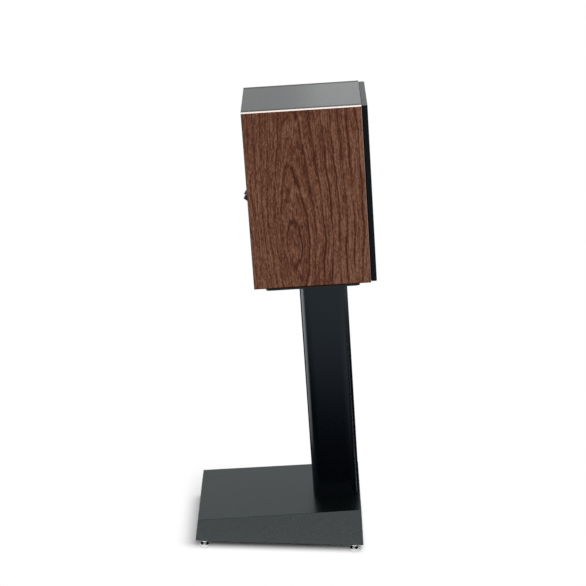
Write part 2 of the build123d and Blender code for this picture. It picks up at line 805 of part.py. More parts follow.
def make_terminal_cup():
    flange = RectangleRounded(terminal_width, terminal_tall, terminal_corner)
    cup = extrude(flange, amount=-terminal_flange_thickness)
    tub = extrude(terminal_tub(terminal_wall), amount=-terminal_recess - terminal_wall)
    recess = extrude(terminal_tub(0), amount=-terminal_recess, taper=terminal_draft_deg)
    cup += tub - below_ramp(terminal_wall)
    cup -= recess - below_ramp(0)
    post_hole = rod(post_stud_radius + thread_fit, -terminal_wall, 0)
    cup -= [place * post_hole for place in post_places()]
    hole = countersunk_screw(terminal_screw_radius, terminal_screw_length, screw_fit)
    return cup - [place * hole for place in terminal_screw_places()]


def make_post_stud():
    """Post with a collar on the cup's ramp, a plain thread and a plug socket in its end."""
    stud = rod(post_stud_radius, -terminal_wall - post_inner_reach, post_tip)
    stud += rod(post_collar_radius, 0, post_collar_height)
    return stud - rod(post_socket_radius, post_tip - post_socket_depth, post_tip)


def make_knob():
    """Fluted clamping knob with a smooth foot."""
    body = ring(knob_radius, post_stud_radius + thread_fit, knob_low, knob_top)
    body = fillet(body.faces().sort_by(Axis.Z)[-1].outer_wire().edges(), knob_flute_radius)
    flute = rod(knob_flute_radius, knob_low + knob_waist_length, knob_top)
    step = 360 / knob_flutes
    return body - [Rot(0, 0, step * i) * Pos(knob_radius, 0) * flute for i in range(knob_flutes)]


def make_terminals():
    back = facing_back(terminal_height)
    screw = flat_head_screw(terminal_screw_radius, terminal_screw_length)
    stud = make_post_stud()
    nut_low = -terminal_wall - post_nut_thickness
    nut = hex_nut(post_nut_width, post_stud_radius + thread_fit, nut_low, -terminal_wall)
    washer = ring(clamp_washer_radius, post_stud_radius + thread_fit, washer_low, washer_top)
    knob = make_knob()
    keep_leaning("terminal_cup", back * make_terminal_cup())
    keep_leaning("terminal_screws", *[back * place * screw for place in terminal_screw_places()])
    keep_leaning("terminal_studs", *[back * place * stud for place in post_places()])
    keep_leaning("terminal_nuts", *[back * place * nut for place in post_places()])
    for sign, place in zip(("negative", "positive"), post_places()):
        keep_leaning(f"clamp_washer_{sign}", back * place * washer)
        keep_leaning(f"terminal_knob_{sign}", back * place * knob)


# Crossover: a board on standoffs inside the back panel, below the terminals
def make_crossover():
    board_middle = wall + board_rise + board_tall / 2
    inside = facing_back(board_middle, wall) * Rot(0, 180, 0)
    half_x = board_width / 2 - board_standoff_inset
    half_y = board_tall / 2 - board_standoff_inset
    standoff = rod(board_standoff_radius, 0, board_rise)
    top = board_rise + board_thickness
    board = slab(board_width, board_tall, board_rise, top)
    coil = ring(inductor_radius, inductor_bore, top, top + inductor_height)
    can = Rot(0, 90, 0) * rod(capacitor_radius, -capacitor_length / 2, capacitor_length / 2)
    can = Pos(0, 0, top + capacitor_radius) * can
    block = slab(resistor_length, resistor_side, top, top + resistor_side)
    coil_places = [Pos(x, inductor_rise) for x in (-inductor_spacing / 2, inductor_spacing / 2)]
    can_places = [Pos(x, -capacitor_drop) for x in (-capacitor_spacing, 0, capacitor_spacing)]
    block_places = [Pos(x, -resistor_drop) for x in (-resistor_spacing / 2, resistor_spacing / 2)]
    keep_leaning("crossover_standoffs", *[inside * place * standoff for place in corners(half_x, half_y)])
    keep_leaning("crossover_board", inside * board)
    keep_leaning("crossover_inductors", *[inside * place * coil for place in coil_places])
    keep_leaning("crossover_capacitors", *[inside * place * can for place in can_places])
    keep_leaning("crossover_resistors", *[inside * place * block for place in block_places])


# Stand head: top plate on the column, pads and bolts under the cabinet
def make_stand_head():
    plate = Pos(0, cabinet_middle, plate_bottom) * extrude(
        RectangleRounded(plate_width, plate_length, plate_corner), amount=plate_thickness
    )
    bolt_hole = rod(cabinet_bolt_radius + screw_fit, plate_bottom, plate_top)
    plate -= [place * bolt_hole for place in cabinet_bolt_places()]
    screw_length = plate_thickness + column_end_plate
    screw = flat_head_screw(plate_screw_radius, screw_length)
    screw_hole = countersunk_screw(plate_screw_radius, screw_length, screw_fit)
    spread = corners(plate_screw_spread, plate_screw_spread)
    screw_places = [Pos(0, 0, plate_top) * place for place in spread]
    plate -= [place * screw_hole for place in screw_places]
    pad = ring(pad_radius, cabinet_bolt_radius + screw_fit, plate_top, cabinet_bottom)
    bolt_length = plate_thickness + pad_height + cabinet_insert_length
    bolt = cap_bolt(cabinet_bolt_radius, cabinet_bolt_head_radius, cabinet_bolt_head_height, bolt_length)
    bolt = Pos(0, 0, plate_bottom) * bolt
    insert = ring(
        cabinet_insert_radius, cabinet_bolt_radius + thread_fit,
        cabinet_bottom, cabinet_bottom + cabinet_insert_length,
    )
    keep_leaning("stand_top_plate", plate)
    keep_leaning("isolation_pads", *[place * pad for place in cabinet_bolt_places()])
    keep_leaning("cabinet_bolts", *[place * bolt for place in cabinet_bolt_places()])
    keep_leaning("plate_screws", *[place * screw for place in screw_places])
    return [leaning * place * insert for place in cabinet_bolt_places()]


def make_column():
    """Rounded tube closed by a welded end plate at top and foot, both drilled for their screws."""
    outline = RectangleRounded(column_width, column_depth, column_corner)
    inside = RectangleRounded(
        column_width - 2 * column_wall, column_depth - 2 * column_wall, column_corner - column_wall
    )
    column = extrude(outline, amount=column_length)
    hollow = extrude(inside, amount=column_length - 2 * column_end_plate)
    column -= Pos(0, 0, column_end_plate) * hollow
    screw_hole = rod(plate_screw_radius + screw_fit, column_length - column_end_plate, column_length)
    column -= [place * screw_hole for place in corners(plate_screw_spread, plate_screw_spread)]
    bolt_hole = rod(column_bolt_radius + screw_fit, 0, column_end_plate)
    column -= [place * bolt_hole for place in corners(column_bolt_spread, column_bolt_spread)]
    keep_leaning("stand_column", column)


# Base: a wedge whose top leans with the column, weighted and bolted from below
def foot_places():
    half_x = base_width / 2 - foot_side_inset
    half_y = base_length / 2 - foot_end_inset
    return [Pos(0, base_middle) * place for place in corners(half_x, half_y)]


def make_base():
    block = extrude(
        RectangleRounded(base_width, base_length, base_corner),
        amount=2 * base_front_height,
        taper=base_draft_deg,
    )
    block = Pos(0, base_middle, foot_height) * block
    above = slab(2 * base_width, 4 * base_length, 0, 4 * base_front_height)
    block -= leaning * above
    top_face = block.faces().sort_by(Axis.Z)[-1]
    block = fillet(top_face.edges(), base_edge_round)
    pocket_side = 2 * (column_bolt_spread + bolt_pocket_margin)
    pocket = slab(pocket_side, pocket_side, -column_bolt_grip - base_length, -column_bolt_grip)
    block -= leaning * pocket
    bolt_hole = rod(column_bolt_radius + screw_fit, -column_bolt_grip, 0)
    bolt_places = corners(column_bolt_spread, column_bolt_spread)
    block -= [leaning * place * bolt_hole for place in bolt_places]
    ballast_front = column_foot_y + column_depth / 2 + ballast_margin
    ballast_rear = base_middle + base_length / 2 - ballast_margin
    ballast_length = ballast_rear - ballast_front
    ballast_width = base_width - 2 * ballast_margin
    ballast_place = Pos(0, (ballast_front + ballast_rear) / 2, foot_height)
    block -= ballast_place * slab(ballast_width, ballast_length, 0, ballast_thickness)
    fit = 2 * panel_fit
    ballast = ballast_place * slab(ballast_width - fit, ballast_length - fit, 0, ballast_thickness)
    insert_hole = rod(foot_insert_radius, foot_height, foot_height + foot_insert_length)
    block -= [place * insert_hole for place in foot_places()]
    bolt_length = column_bolt_grip + column_end_plate
    bolt = cap_bolt(column_bolt_radius, column_bolt_head_radius, column_bolt_head_height, bolt_length)
    bolt = Pos(0, 0, -column_bolt_grip) * bolt
    keep("stand_base", block)
    keep("ballast_plate", ballast)
    keep_leaning("column_bolts", *[place * bolt for place in bolt_places])


# Feet: a levelling spike in a threaded insert, locked by a nut, standing in a floor disc
def make_spike():
    nut_low = foot_height - foot_nut_thickness
    collar_top = nut_low - seat_gap
    collar_low = collar_top - foot_collar_thickness
    tip = foot_disc_thickness - foot_dimple_depth + seat_gap
    return turned_outline(
        (0, tip),
        (foot_tip_radius, tip),
        (foot_collar_radius - foot_collar_step, collar_low),
        (foot_collar_radius, collar_low),
        (foot_collar_radius, collar_top),
        (foot_stud_radius, collar_top),
        (foot_stud_radius, foot_height + foot_stud_length),
        (0, foot_height + foot_stud_length),
    )


def make_disc():
    dimple_low = foot_disc_thickness - foot_dimple_depth
    disc = turned_outline(
        (0, 0),
        (foot_disc_radius, 0),
        (foot_disc_radius, foot_disc_thickness),
        (foot_dimple_radius, foot_disc_thickness),
        (foot_tip_radius + seat_gap, dimple_low),
        (0, dimple_low),
    )
    rim = disc.edges().filter_by(GeomType.CIRCLE).sort_by(SortBy.RADIUS)[-2:]
    return fillet(rim.sort_by(Axis.Z)[-1:], foot_disc_edge_round)


def make_feet():
    spike = make_spike()
    disc = make_disc()
    bore = foot_stud_radius + thread_fit
    nut = hex_nut(foot_nut_width, bore, foot_height - foot_nut_thickness, foot_height)
    insert = ring(foot_insert_radius, bore, foot_height, foot_height + foot_insert_length)
    names = ("front_left", "rear_left", "front_right", "rear_right")
    for name, place in zip(names, foot_places()):
        keep(f"foot_spike_{name}", place * spike)
        keep(f"foot_disc_{name}", place * disc)
    keep("foot_lock_nuts", *[place * nut for place in foot_places()])
    return [place * insert for place in foot_places()]


make_cabinet()
make_baffle()
make_woofer()
make_tweeter()
make_port()
make_damping()
make_terminals()
make_crossover()
cabinet_inserts = make_stand_head()
make_column()
make_base()
foot_inserts = make_feet()
keep("threaded_inserts", *cabinet_inserts, *foot_inserts)

os.makedirs("parts", exist_ok=True)
for name, shape in parts.items():
    export_step(shape, f"parts/{name}.step")
print(len(parts), "nodes; column foot at", round(column_foot_y, 3), round(column_foot_z, 3))
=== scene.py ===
import json
import math

import bmesh
import bpy
from mathutils import Matrix, Vector


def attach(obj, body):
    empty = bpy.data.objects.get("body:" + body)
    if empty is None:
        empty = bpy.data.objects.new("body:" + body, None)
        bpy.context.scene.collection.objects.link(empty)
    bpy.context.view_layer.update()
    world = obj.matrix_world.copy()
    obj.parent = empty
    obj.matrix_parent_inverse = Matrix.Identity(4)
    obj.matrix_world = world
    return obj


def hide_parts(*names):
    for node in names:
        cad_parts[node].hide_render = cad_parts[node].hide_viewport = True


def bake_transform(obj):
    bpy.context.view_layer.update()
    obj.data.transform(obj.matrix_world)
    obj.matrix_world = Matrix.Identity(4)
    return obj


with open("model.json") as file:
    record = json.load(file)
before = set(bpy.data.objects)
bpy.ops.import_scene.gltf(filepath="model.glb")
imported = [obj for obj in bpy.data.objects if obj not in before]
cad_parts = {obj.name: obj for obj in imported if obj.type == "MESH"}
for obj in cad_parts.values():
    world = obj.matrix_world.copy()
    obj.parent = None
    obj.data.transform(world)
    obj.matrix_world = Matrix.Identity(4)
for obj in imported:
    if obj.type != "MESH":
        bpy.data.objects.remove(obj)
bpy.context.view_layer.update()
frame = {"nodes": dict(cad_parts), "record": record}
nodes = frame["nodes"]
slot_of = {row["node"]: row["material_slot"] for row in frame["record"]["subparts"]}
ROOT = "enclosure_and_stand"

# The leaning frame of cabinet and column: its origin is the middle of the column's foot, in metres
LEAN = math.radians(5.5)
FOOT = Vector((0, -0.124206, 0.097672))
LEANING = Matrix.Translation(FOOT) @ Matrix.Rotation(-LEAN, 4, "X")

# Places in the leaning frame
BAFFLE_FACE = -0.1155
WOOFER_HEIGHT = 0.708
TWEETER_HEIGHT = 0.848
RAMP_PLACE = (0, 0.1345, 0.6915)
POST_TILT = math.radians(40)

# Turns that point Z out of the front and out of the back
FRONT = Matrix(((1, 0, 0), (0, 0, -1), (0, 1, 0))).to_4x4()
BACK = Matrix(((-1, 0, 0), (0, 0, 1), (0, 1, 0))).to_4x4()

# The drivers' axes, and the ramp that the binding posts stand on
WOOFER = LEANING @ Matrix.Translation((0, BAFFLE_FACE, WOOFER_HEIGHT)) @ FRONT
TWEETER = LEANING @ Matrix.Translation((0, BAFFLE_FACE, TWEETER_HEIGHT)) @ FRONT
RAMP = LEANING @ Matrix.Translation(RAMP_PLACE) @ BACK @ Matrix.Rotation(-POST_TILT, 4, "X")

# The veneer's figure: the eye's place in the leaning frame, and a ring's width on either side of it
EYE_ACROSS = 0.068
EYE_ALONG = 0.606
RING_AHEAD = 0.0165
RING_BEHIND = 0.0110

# The camera that was fitted to the photograph: place in metres, angles in radians
CAMERA_PLACE = (-3.82241, 0.01966, 1.94087)
YAW = -0.0082
PITCH = 0.3460
TILT = 0.0320
PHOTO_PIXELS = 586
FOCAL_PIXELS = 1852.2
SENSOR_MM = 36


class Shader:
    """A material's node tree, built with short calls that return sockets."""

    def __init__(self, name):
        self.name = name
        self.material = bpy.data.materials.new("finish_" + name)
        self.material.use_nodes = True
        self.tree = self.material.node_tree
        self.bsdf = self.tree.nodes["Principled BSDF"]

    def feed(self, target, value):
        """Links a socket to the target, or sets the target to a constant."""
        if isinstance(value, bpy.types.NodeSocket):
            self.tree.links.new(value, target)
        else:
            target.default_value = value

    def add(self, kind, inputs, **settings):
        made = self.tree.nodes.new(kind)
        for key, value in settings.items():
            setattr(made, key, value)
        for key, value in inputs.items():
            self.feed(made.inputs[key], value)
        return made

    def set(self, **sockets):
        """Sets the surface's sockets. An underscore stands for a space in a socket's name."""
        for key, value in sockets.items():
            self.feed(self.bsdf.inputs[key.replace("_", " ")], value)

    def show(self, surface):
        """Shows another surface in place of the principled one."""
        self.feed(self.tree.nodes["Material Output"].inputs["Surface"], surface)

    def place(self, matrix=None):
        """Object coordinates, or the coordinates of a frame given by its matrix."""
        spot = self.add("ShaderNodeTexCoord", {}).outputs["Object"]
        if matrix is None:
            return spot
        inverse = matrix.inverted()
        inputs = {
            "Vector": spot,
            "Location": tuple(inverse.translation),
            "Rotation": tuple(inverse.to_euler()),
        }
        return self.add("ShaderNodeMapping", inputs).outputs[0]

    def stretch(self, vector, scale):
        inputs = {0: vector, 1: scale}
        return self.add("ShaderNodeVectorMath", inputs, operation="MULTIPLY").outputs[0]

    def split(self, vector):
        return self.add("ShaderNodeSeparateXYZ", {0: vector}).outputs

    def noise(self, vector, scale=1.0, detail=2.0, rough=0.5):
        inputs = {"Vector": vector, "Scale": scale, "Detail": detail, "Roughness": rough}
        return self.add("ShaderNodeTexNoise", inputs).outputs["Fac"]

    def math(self, operation, a, b=0.0, c=0.0):
        inputs = {0: a, 1: b, 2: c}
        return self.add("ShaderNodeMath", inputs, operation=operation).outputs[0]

    def minus(self, a, b):
        return self.math("SUBTRACT", a, b)

    def times(self, a, b):
        return self.math("MULTIPLY", a, b)

    def times_plus(self, a, b, c):
        return self.math("MULTIPLY_ADD", a, b, c)

    def total(self, *parts):
        """The sum of values, each given with its weight."""
        result = 0.0
        for value, weight in parts:
            result = self.times_plus(value, weight, result)
        return result

    def fade(self, value, low, high, start=0.0, end=1.0):
        """Goes smoothly from start to end while the value goes from low to high."""
        inputs = {"Value": value, "From Min": low, "From Max": high, "To Min": start, "To Max": end}
        return self.add("ShaderNodeMapRange", inputs, interpolation_type="SMOOTHSTEP").outputs[0]

    def ramp(self, value, *stops):
        made = self.add("ShaderNodeValToRGB", {0: value})
        ramp = made.color_ramp
        while len(ramp.elements) < len(stops):
            ramp.elements.new(0.5)
        for element, (position, colour) in zip(ramp.elements, stops):
            element.position = position
            element.color = (*colour, 1)
        return made.outputs[0]

    def mix(self, share, a, b):
        a = a if isinstance(a, bpy.types.NodeSocket) else (*a, 1)
        b = b if isinstance(b, bpy.types.NodeSocket) else (*b, 1)
        inputs = {0: share, 6: a, 7: b}
        return self.add("ShaderNodeMix", inputs, data_type="RGBA").outputs[2]

    def facing(self):
        """The true normal's parts: sideways, backwards and upwards."""
        return self.split(self.add("ShaderNodeNewGeometry", {}).outputs["True Normal"])

    def bump(self, height, distance, strength=1.0):
        inputs = {"Height": height, "Distance": distance, "Strength": strength}
        self.set(Normal=self.add("ShaderNodeBump", inputs).outputs[0])


# Materials, one for each slot of the record


def veneer_rings(s, spot, wander):
    """Nested arches: places across from the eye, along the grain and above the eye, and rings."""
    ripple = s.noise(s.stretch(spot, (12.0, 75.0, 20.0)), detail=2.0)
    feather = s.noise(s.stretch(spot, (120.0, 420.0, 16.0)), detail=2.0, rough=0.6)
    _, across, along = s.split(spot)
    across = s.times_plus(wander, 0.022, across)
    along = s.times_plus(feather, 0.045, along)
    from_eye = s.minus(across, EYE_ACROSS)
    behind = s.math("GREATER_THAN", from_eye, 0.0)
    width = s.times_plus(behind, RING_BEHIND - RING_AHEAD, RING_AHEAD)
    rings_across = s.math("DIVIDE", from_eye, width)
    # The arches lean, and below the eye they are mirrored and a little shorter
    round_eye = s.math("SQRT", s.times_plus(from_eye, from_eye, 0.0012))
    above = s.minus(s.times_plus(round_eye, -1.2, along), EYE_ALONG)
    above = s.times_plus(from_eye, -0.45, above)
    reach = s.math("MAXIMUM", above, s.times(above, -1.1))
    rings_along = s.math("POWER", s.times_plus(reach, s.times(reach, 600.0), 0.16), 0.28)
    square = s.times_plus(rings_across, rings_across, s.times(rings_along, rings_along))
    rings = s.times_plus(ripple, 0.45, s.minus(s.math("SQRT", square), 0.50))
    return from_eye, along, above, rings


def veneer_lines(s, spot, wander, from_eye, above, rings):
    """The dark drawing: a line on each ring, finer lines between them and short dashes."""
    share = s.math("FRACT", rings)
    line = s.times(s.fade(share, 0.76, 0.92), s.fade(share, 1.0, 0.95))
    weaker_behind = s.fade(from_eye, 0.02, -0.01, 0.50, 1.0)
    flank = s.fade(s.math("ABSOLUTE", from_eye), 0.0, 0.012, 0.25, 1.0)
    innermost = s.fade(rings, 1.30, 1.02, 0.0, 1.15)
    crown = s.times(innermost, s.fade(above, -0.030, 0.004, 0.45, 1.0))
    seen_part = s.math("MAXIMUM", flank, crown)
    boldness = s.noise(s.stretch(spot, (6.0, 60.0, 14.0)), detail=2.0)
    boldness = s.fade(boldness, 0.34, 0.66, 0.40, 1.0)
    for factor in (weaker_behind, seen_part, boldness):
        line = s.times(line, factor)
    finer = s.math("FRACT", s.total((rings, 3.0), (wander, 1.5)))
    finer = s.times(s.fade(finer, 0.45, 0.9), s.fade(finer, 1.0, 0.9))
    dash = s.noise(s.stretch(spot, (250.0, 520.0, 34.0)), detail=1.0)
    dash = s.fade(dash, 0.54, 0.66)
    return s.total((line, 0.58), (finer, 0.17), (s.times(share, seen_part), 0.10), (dash, 0.20))


def veneer_edges(s, wood):
    """Painted highlights on the top and front bevels and painted shade on the bottom bevel round
    the veneered faces, and dark narrow sides.
    """
    sideways, backward, upward = s.facing()
    skin = s.fade(s.math("ABSOLUTE", sideways), 0.35, 0.5)
    front_bevel_highlight = s.times(s.fade(backward, -0.4, -0.6), skin)
    lower_bevel_shade = s.times(s.fade(upward, -0.4, -0.6), skin)
    upper_bevel_highlight = s.times(s.fade(upward, 0.4, 0.6), skin)
    # Painted light on the bevels: a pale sheen on the front, shade on the bottom and a near-white
    # highlight on the top
    wood = s.mix(s.times(front_bevel_highlight, 0.6), wood, (0.32, 0.28, 0.265))
    wood = s.mix(s.times(lower_bevel_shade, 0.8), wood, (0.010, 0.006, 0.004))
    wood = s.mix(s.times(upper_bevel_highlight, 0.85), wood, (0.95, 0.83, 0.77))
    return s.mix(skin, (0.017, 0.0175, 0.018), wood)


def walnut():
    """Flat-cut veneer: an eye of nested arches, wavy streaks before it, straight grain behind."""
    s = Shader("walnut_veneer")
    spot = s.place(LEANING)
    wander = s.noise(s.stretch(spot, (5.0, 22.0, 5.0)), detail=3.0)
    from_eye, along, above, rings = veneer_rings(s, spot, wander)
    drawn = veneer_lines(s, spot, wander, from_eye, above, rings)

    def flow(per_metre, per_ring, lengthwise):
        """Coordinates that follow the rings."""
        crosswise = s.total((from_eye, per_metre), (rings, per_ring))
        inputs = {0: crosswise, 1: s.times(along, lengthwise)}
        return s.add("ShaderNodeCombineXYZ", inputs).outputs[0]

    band = s.noise(flow(40.0, 2.2, 6.0), detail=3.0, rough=0.6)
    streak = s.noise(flow(170.0, 6.5, 10.0), detail=3.0, rough=0.65)
    fleck = s.noise(s.stretch(spot, (220.0, 420.0, 150.0)), detail=2.0, rough=0.7)
    fibre = s.noise(s.stretch(spot, (300.0, 900.0, 22.0)), detail=3.0, rough=0.6)
    pores = s.noise(s.stretch(spot, (900.0, 1500.0, 70.0)), detail=1.0)
    pores = s.fade(pores, 0.62, 0.7)
    from_heart = s.math("ABSOLUTE", s.math("ADD", from_eye, 0.008))
    heart = s.fade(from_heart, 0.08, 0.02, 0.0, 0.045)
    pale_front = s.fade(from_eye, -0.09, -0.16, 0.0, 0.06)
    light = s.total((band, 0.50), (fibre, 0.40), (streak, 0.92), (fleck, 1.35), (pale_front, 1.0))
    dark = s.total((along, 0.160), (heart, 1.0), (drawn, 1.0))
    wood = s.ramp(
        s.minus(light, s.math("ADD", dark, 0.782)),
        (0.06, (0.050, 0.0130, 0.0050)),
        (0.30, (0.086, 0.0250, 0.0110)),
        (0.55, (0.146, 0.0560, 0.0285)),
        (0.84, (0.252, 0.1180, 0.0740)),
    )
    wood = s.mix(s.times(pores, 0.5), wood, (0.030, 0.010, 0.005))
    s.set(Base_Color=veneer_edges(s, wood))
    s.set(Roughness=s.times_plus(fibre, 0.18, 0.32))
    s.set(IOR=1.45, Specular_IOR_Level=0.12)
    s.bump(s.times_plus(pores, -0.8, fibre), 0.00012, 0.5)
    return s


def black_wrap():
    """Thin black wrap with a fine pressed grain that runs along the boards."""
    s = Shader("black_wrap")
    spot = s.place(LEANING)
    grain = s.noise(s.stretch(spot, (420.0, 420.0, 30.0)), detail=3.0, rough=0.6)
    mottle = s.noise(spot, scale=45.0, detail=3.0)
    s.set(Base_Color=s.mix(mottle, (0.010, 0.0130, 0.0140), (0.018, 0.0215, 0.0225)))
    s.set(Roughness=s.times_plus(grain, 0.2, 0.2))
    s.set(IOR=1.30, Specular_Tint=(0.96, 1, 1, 1))
    s.bump(grain, 0.00015, 0.35)
    return s


def coated(name, dark, light, *, rough, spread, scale, depth, metallic=0.0, ior=1.45,
           stretch=(1.0, 1.0, 1.0), tint=(1, 1, 1)):
    """A finish whose colour, gloss and surface vary with the same fine noise and a slow mottle."""
    s = Shader(name)
    spot = s.place()
    fine = s.noise(s.stretch(spot, stretch), scale=scale, detail=4.0, rough=0.62)
    slow = s.noise(spot, scale=scale / 14, detail=2.0)
    share = s.total((slow, 0.4), (fine, 0.6))
    s.set(Base_Color=s.ramp(share, (0.3, dark), (0.7, light)))
    s.set(Roughness=s.times_plus(share, spread, rough - spread / 2))
    s.set(Metallic=metallic, IOR=ior, Specular_Tint=(*tint, 1))
    s.bump(fine, depth, 0.6)
    return s


def wedge_coat():
    """The base's coat: smooth on top and a fine texture on the drafted sides, with painted light:
    the sides a lighter grey and the top near-black, as lit and shaded copies of one coat.
    """
    s = Shader("base_finish")
    spot = s.place()
    fine = s.noise(spot, scale=900.0, detail=4.0, rough=0.65)
    coarse = s.noise(spot, scale=420.0, detail=2.0, rough=0.7)
    slow = s.noise(spot, scale=40.0, detail=2.0)
    upward = s.facing()[2]
    side = s.fade(s.math("ABSOLUTE", upward), 0.75, 0.5)
    texture = s.total((coarse, 0.6), (fine, 0.4))
    # Painted light and shade: one coat in a lighter grey on the sides and near-black on the top
    painted_lit_side_grey = s.ramp(texture, (0.3, (0.037, 0.038, 0.040)), (0.7, (0.094, 0.097, 0.099)))
    painted_shade_top_black = s.mix(slow, (0.0002, 0.0004, 0.0005), (0.0006, 0.0009, 0.0010))
    s.set(Base_Color=s.mix(side, painted_shade_top_black, painted_lit_side_grey))
    s.set(Roughness=s.times_plus(side, 0.31, s.times_plus(slow, 0.06, 0.25)))
    s.set(IOR=1.35, Specular_Tint=(0.60, 0.97, 1, 1))
    s.bump(s.times(fine, s.times_plus(side, 0.85, 0.15)), 0.0001, 0.6)
    return s


def woven_cone():
    """Dark plain weave pressed into a cone: threads cross over and under in both directions, with
    painted sheen that makes alternate crossings lighter and painted shade in the gaps between
    threads.
    """
    s = Shader("cone_fibre")
    x, y, _ = s.split(s.place(WOOFER))
    pitch = 0.0016
    warp = s.math("SINE", s.times(x, math.pi / pitch))
    weft = s.math("SINE", s.times(y, math.pi / pitch))
    over = s.math("GREATER_THAN", s.times(warp, weft), 0.0)
    under = s.minus(1.0, over)
    warp_high = s.math("ABSOLUTE", warp)
    weft_high = s.math("ABSOLUTE", weft)
    height = s.times_plus(under, weft_high, s.times(over, warp_high))
    patch = s.noise(s.place(), scale=90.0, detail=3.0)
    # Painted sheen: the crossings where one direction lies on top are lighter than the others
    thread_sheen_and_gap_shade = s.mix(over, (0.030, 0.030, 0.032), (0.052, 0.051, 0.051))
    # Painted shade in the gaps, where the threads dip under each other
    thread_sheen_and_gap_shade = s.mix(s.times(height, 0.7), (0.010, 0.010, 0.011), thread_sheen_and_gap_shade)
    s.set(Base_Color=s.mix(s.fade(patch, 0.3, 0.8, 0.0, 0.35), thread_sheen_and_gap_shade, (0.072, 0.070, 0.068)))
    s.set(Roughness=s.times_plus(over, 0.12, 0.36), IOR=1.5)
    s.bump(height, 0.00022, 0.8)
    return s


def wound_copper():
    """Enamelled wire in close turns."""
    s = Shader("copper")
    inputs = {"Vector": s.place(WOOFER), "Scale": 420.0}
    turns = s.add("ShaderNodeTexWave", inputs, bands_direction="Z").outputs["Fac"]
    wear = s.noise(s.place(), scale=300.0, detail=3.0)
    s.set(Base_Color=s.mix(wear, (0.52, 0.19, 0.075), (0.70, 0.32, 0.15)), Metallic=1.0)
    s.set(Roughness=s.times_plus(wear, 0.15, 0.25))
    s.bump(turns, 0.0002, 0.8)
    return s


def knob(name, band):
    """Black clamping knob with a coloured band round its waist."""
    s = Shader(name)
    height = s.split(s.place(RAMP))[2]
    low, high, soft = 0.0057, 0.0085, 0.0001
    ring = s.times(s.fade(height, low - soft, low + soft), s.fade(height, high + soft, high - soft))
    specks = s.noise(s.place(), scale=900.0, detail=3.0)
    black = s.mix(specks, (0.008, 0.008, 0.009), (0.016, 0.016, 0.017))
    s.set(Base_Color=s.mix(ring, black, band))
    s.set(Roughness=s.times_plus(specks, 0.14, 0.2), IOR=1.35)
    s.bump(specks, 0.00004, 0.4)
    return s


def cloth(name, dark, light, *, scale):
    """Matted or woven fibres."""
    s = Shader(name)
    tuft = s.noise(s.place(), scale=scale, detail=5.0, rough=0.7)
    s.set(Base_Color=s.ramp(tuft, (0.3, dark), (0.72, light)))
    s.set(Roughness=s.times_plus(tuft, 0.15, 0.82), Sheen_Weight=0.3)
    s.bump(tuft, 0.0006, 0.9)
    return s


def paints():
    """Every slot of the record with its material."""
    made = [
        walnut(),
        black_wrap(),
        wedge_coat(),
        woven_cone(),
        wound_copper(),
        knob("knob_black", (0.010, 0.010, 0.011)),
        knob("knob_red", (0.42, 0.012, 0.012)),
        cloth("felt", (0.16, 0.16, 0.165), (0.36, 0.36, 0.36), scale=700.0),
        cloth("spider_cloth", (0.40, 0.27, 0.10), (0.62, 0.46, 0.22), scale=900.0),
        coated("black_baffle", (0.0042, 0.0052, 0.0064), (0.0062, 0.0076, 0.0090),
               rough=0.34, spread=0.10, scale=700.0, depth=0.00004,
               ior=1.16, tint=(0.80, 0.93, 1.0)),
        coated("raw_board", (0.30, 0.20, 0.12), (0.52, 0.39, 0.27),
               rough=0.75, spread=0.15, scale=600.0, depth=0.0002),
        coated("cast_frame", (0.045, 0.045, 0.048), (0.085, 0.085, 0.09),
               rough=0.5, spread=0.2, scale=800.0, depth=0.0001, metallic=0.6),
        coated("black_plastic", (0.0085, 0.0085, 0.0095), (0.0155, 0.0155, 0.0165),
               rough=0.45, spread=0.15, scale=1100.0, depth=0.00006),
        coated("rubber", (0.0075, 0.0075, 0.0078), (0.0145, 0.0145, 0.0150),
               rough=0.58, spread=0.12, scale=900.0, depth=0.00005, ior=1.5),
        coated("motor_steel", (0.42, 0.42, 0.43), (0.60, 0.60, 0.61),
               rough=0.36, spread=0.2, scale=240.0, depth=0.00003, metallic=1.0, stretch=(1, 1, 6)),
        coated("ferrite", (0.030, 0.030, 0.033), (0.065, 0.065, 0.068),
               rough=0.6, spread=0.2, scale=500.0, depth=0.0001),
        coated("dome_metal", (0.50, 0.50, 0.52), (0.62, 0.62, 0.64),
               rough=0.28, spread=0.1, scale=1500.0, depth=0.00001, metallic=1.0),
        coated("gold_metal", (0.68, 0.44, 0.16), (0.84, 0.62, 0.28),
               rough=0.24, spread=0.12, scale=600.0, depth=0.00002, metallic=1.0),
        coated("board_laminate", (0.02, 0.075, 0.035), (0.045, 0.13, 0.065),
               rough=0.45, spread=0.15, scale=160.0, depth=0.00005),
        coated("capacitor_film", (0.42, 0.29, 0.05), (0.60, 0.45, 0.12),
               rough=0.25, spread=0.1, scale=200.0, depth=0.00003),
        coated("resistor_body", (0.55, 0.54, 0.50), (0.74, 0.73, 0.69),
               rough=0.65, spread=0.15, scale=700.0, depth=0.0001),
        coated("black_steel", (0.0006, 0.0010, 0.0024), (0.0014, 0.0020, 0.0036),
               rough=0.20, spread=0.06, scale=1000.0, depth=0.00002,
               ior=1.38, tint=(0.72, 0.88, 1.0)),
        coated("black_fastener", (0.015, 0.015, 0.016), (0.035, 0.035, 0.036),
               rough=0.38, spread=0.15, scale=900.0, depth=0.00004, metallic=0.8),
        coated("plated_brass", (0.50, 0.34, 0.14), (0.68, 0.50, 0.24),
               rough=0.32, spread=0.15, scale=500.0, depth=0.00003, metallic=1.0),
        coated("chrome", (0.70, 0.70, 0.71), (0.78, 0.78, 0.80),
               rough=0.07, spread=0.05, scale=400.0, depth=0.000004, metallic=1.0,
               stretch=(1, 1, 5)),
    ]
    return {s.name: s.material for s in made}


# Pieces that stand for soft solids. The outlines that are turned are in millimetres.


